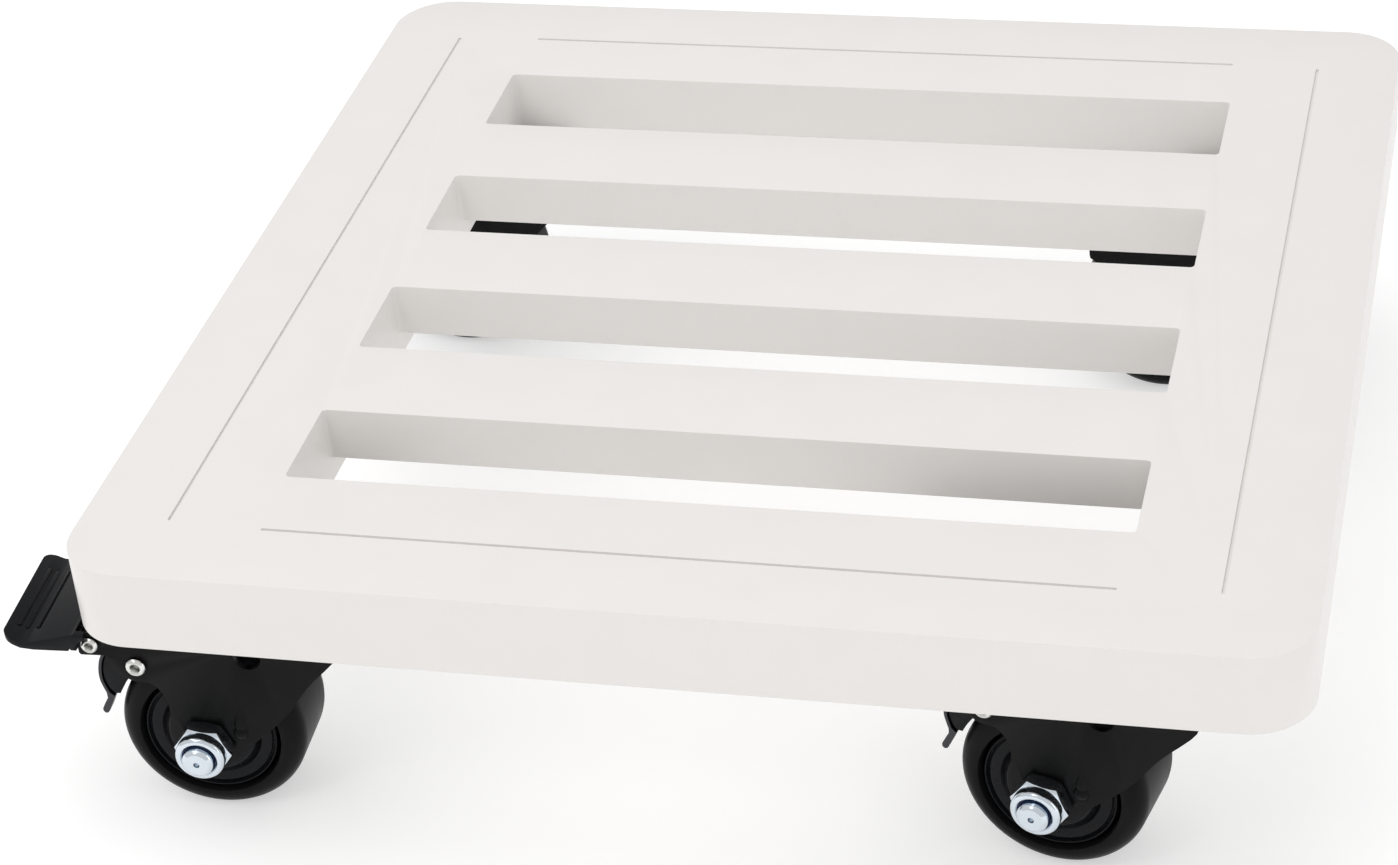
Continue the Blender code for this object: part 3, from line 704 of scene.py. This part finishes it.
forks = {True: fork_mesh(True), False: fork_mesh(False)}
tread = tread_mesh()
hub = hub_mesh()
sleeve = sleeve_mesh()
bolt = bolt_mesh()
nut = nut_mesh()
nylon = nylon_mesh()
upper_cup = cup_mesh(UPPER_RACE_LOW.z, UPPER_RACE_HIGH.z, UPPER_CUP_RADIUS)
lower_cup = cup_mesh(LOWER_RACE_LOW.z, LOWER_RACE_HIGH.z, LOWER_CUP_RADIUS)
balls = balls_mesh()
kingpin = kingpin_mesh()
screw = screw_mesh()
pedal_rivet = rivet_mesh(PEDAL_RIVET_HEAD, PEDAL_AXIS)
shoe_rivet = rivet_mesh(SHOE_RIVET_HEAD, SHOE_AXIS)
brake_pieces = (
    ("pedal_rivet_tube", pedal_rivet, "bright_steel", "swivel_fork", "pedal_rivet"),
    ("shoe_rivet_tube", shoe_rivet, "bright_steel", "swivel_fork", "shoe_rivet"),
    ("foot_pedal", pedal_mesh(), "black_plastic", "pedal", "brake_pedal"),
    ("brake_block", shoe_mesh(), "black_plastic", "shoe", "brake_shoe"),
    ("leaf_spring", spring_mesh(), "spring_steel", "shoe", "brake_spring"),
)

for caster in CASTERS:
    pivot = JOINTS[f"{caster}_swivel"]["pos_m"]
    roll_axis = JOINTS[f"{caster}_roll"]["axis"]
    turn = atan2(roll_axis[0], -roll_axis[1])
    swivel_at = Matrix.Translation((pivot[0], pivot[1], 0)) @ Matrix.Rotation(turn, 4, "Z")
    corner_angle = -pi / 4 if pivot[0] * pivot[1] > 0 else pi / 4
    plate_at = Matrix.Translation((pivot[0], pivot[1], 0)) @ Matrix.Rotation(corner_angle, 4, "Z")
    swivel_pieces = [
        ("fork_shell", forks[caster in BRAKED], "black_steel", "swivel_fork", "fork"),
        ("lower_cup", lower_cup, "black_steel", "swivel_fork", "lower_race"),
        ("rolling_tread", tread, "black_tread", "wheel", "tread"),
        ("hub_disc", hub, "black_plastic", "wheel", "wheel_hub"),
        ("bush", sleeve, "zinc", "swivel_fork", "axle_sleeve"),
        ("hex_bolt", bolt, "zinc", "swivel_fork", "axle_bolt"),
        ("collar_nut", nut, "zinc", "swivel_fork", "lock_nut"),
        ("nylon_insert", nylon, "blue_nylon", "swivel_fork", "nylon_ring"),
    ]
    if caster in BRAKED:
        swivel_pieces += brake_pieces
    for name, mesh, material, body, node in swivel_pieces:
        nodes = [f"{caster}_{node}"]
        show(f"{caster}_{name}", mesh, material, f"{caster}_{body}", nodes, swivel_at)
    race = [f"{caster}_upper_race"]
    show(f"{caster}_upper_cup", upper_cup, "black_steel", "chassis", race, plate_at)
    show(f"{caster}_race_balls", balls, "bright_steel", "chassis", (), plate_at)
    show(f"{caster}_pin", kingpin, "zinc", "chassis", [f"{caster}_kingpin"], plate_at)
    for i, (x, y) in enumerate(SCREW_PLACES):
        screw_at = plate_at @ Matrix.Translation((x, y, 0))
        show(f"{caster}_screw_{i + 1}", screw, "zinc", "chassis", (), screw_at)
    plate = frame["nodes"][f"{caster}_mounting_plate"]
    plate.data.materials.clear()
    plate.data.materials.append(MATERIALS["black_steel"])


# ---------------------------------------------------------------- studio

def add_floor():
    bm = bmesh.new()
    bmesh.ops.create_grid(bm, x_segments=1, y_segments=1, size=6)
    mesh = bpy.data.meshes.new("studio_floor")
    bm.to_mesh(mesh)
    bm.free()
    material = bpy.data.materials.new("studio_floor")
    material.use_nodes = True
    shader = material.node_tree.nodes["Principled BSDF"]
    shader.inputs["Base Color"].default_value = (0.62, 0.62, 0.62, 1)
    shader.inputs["Roughness"].default_value = 0.9
    shader.inputs["Emission Color"].default_value = (1, 1, 1, 1)
    shader.inputs["Emission Strength"].default_value = 0.48
    mesh.materials.append(material)
    floor = bpy.data.objects.new("studio_floor", mesh)
    floor.location.z = FLOOR - 0.1 * MM
    bpy.context.scene.collection.objects.link(floor)


def add_area_light(name, location, target, size, power, color=(1, 1, 1)):
    light = bpy.data.lights.new(name, "AREA")
    light.shape = "RECTANGLE"
    light.size, light.size_y = size
    light.energy = power
    light.color = color
    obj = bpy.data.objects.new(name, light)
    obj.location = location
    direction = Vector(target) - Vector(location)
    obj.rotation_euler = direction.to_track_quat("-Z", "Y").to_euler()
    bpy.context.scene.collection.objects.link(obj)


def add_world(color, strength):
    world = bpy.data.worlds.new("studio")
    world.use_nodes = True
    background = world.node_tree.nodes["Background"]
    background.inputs["Color"].default_value = (*color, 1)
    background.inputs["Strength"].default_value = strength
    bpy.context.scene.world = world


def add_camera():
    """The camera looks along +Y turned left by yaw, tilted down by pitch, and rolled, in radians."""
    place = (0.1952, -0.7748, 0.4802)
    yaw, pitch, roll = 0.2663, 0.5835, -0.0879
    camera = bpy.data.cameras.new("camera")
    camera.sensor_width = 36
    camera.lens = 90.97
    camera.shift_x = -0.0314
    camera.shift_y = -0.0011
    obj = bpy.data.objects.new("camera", camera)
    aim = Matrix.Rotation(yaw, 4, "Z") @ Matrix.Rotation(pi / 2 - pitch, 4, "X")
    obj.matrix_world = Matrix.Translation(place) @ aim @ Matrix.Rotation(roll, 4, "Z")
    bpy.context.scene.collection.objects.link(obj)
    bpy.context.scene.camera = obj


bpy.context.scene.view_settings.view_transform = "Standard"
add_floor()
add_world((1, 1, 1), 0.74)
add_area_light("softbox_top", (-0.4, -0.2, 1.6), (0, 0, 0), (1.6, 1.6), 10)
add_area_light("softbox_front", (-0.7, -1.3, 1.5), (0, 0, 0), (0.4, 0.4), 2.2, (1, 0.97, 0.94))
add_area_light("strip_right", (1.4, -0.5, 0.3), (0, 0, -0.05), (0.2, 0.9), 1.5)
add_camera()
